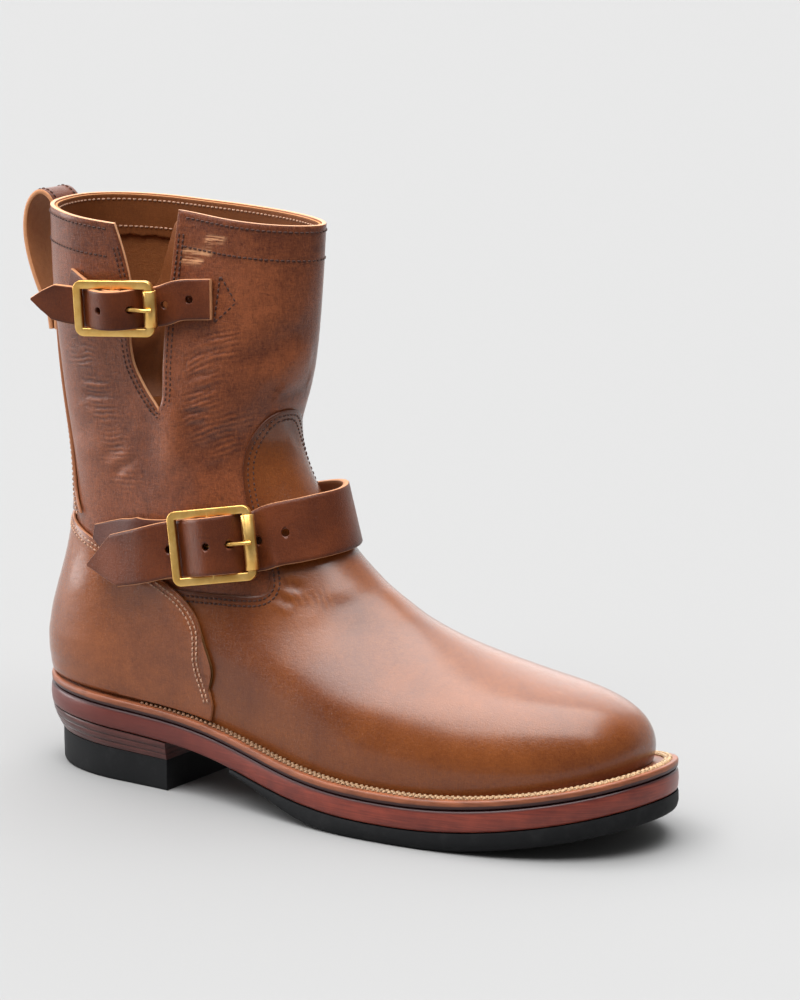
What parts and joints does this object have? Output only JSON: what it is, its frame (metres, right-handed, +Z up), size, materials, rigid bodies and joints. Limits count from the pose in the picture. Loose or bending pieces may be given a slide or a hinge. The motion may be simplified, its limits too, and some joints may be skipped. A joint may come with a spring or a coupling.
{
  "type": "engineer boot",
  "caption": "Short right engineer boot in tan leather with a hollow shaft, a buckled strap over the instep, a buckled strap at the collar slit, a stacked heel and a rubber half sole.",
  "frame": {"origin": "on the floor under the middle of the boot's bounding box", "axes": "+X forward to the toe, +Y towards the inner side of the foot, +Z up"},
  "size_m": [0.3167, 0.1084, 0.2506],
  "materials": {
    "tan_leather": "oiled smooth leather with a soft shine",
    "strap_leather": "oiled leather with cut edges",
    "lining_leather": "matt vegetable tanned leather",
    "welt_leather": "firm leather, waxed",
    "sole_edge_leather": "firm sole leather with a stained and polished edge",
    "black_rubber": "matt black rubber",
    "brass": "polished, lightly worn"
  },
  "bodies": {
    "root": {"upper": "tan_leather", "counter": "tan_leather", "backstay": "tan_leather", "strap_instep": "strap_leather", "chape_instep": "strap_leather", "strap_top": "strap_leather", "chape_top": "strap_leather", "pull_loop": "strap_leather", "collar_facing": "lining_leather", "gusset": "lining_leather", "insole": "lining_leather", "welt": "welt_leather", "midsole_leather": "sole_edge_leather", "heel_lift_lower": "sole_edge_leather", "heel_lift_middle": "sole_edge_leather", "heel_lift_upper": "sole_edge_leather", "outsole_rubber": "black_rubber", "heel_top_piece": "black_rubber", "buckle_instep_frame": "brass", "buckle_instep_prong": "brass", "buckle_instep_roller": "brass", "buckle_top_frame": "brass", "buckle_top_prong": "brass", "buckle_top_roller": "brass"}
  },
  "joints": []
}
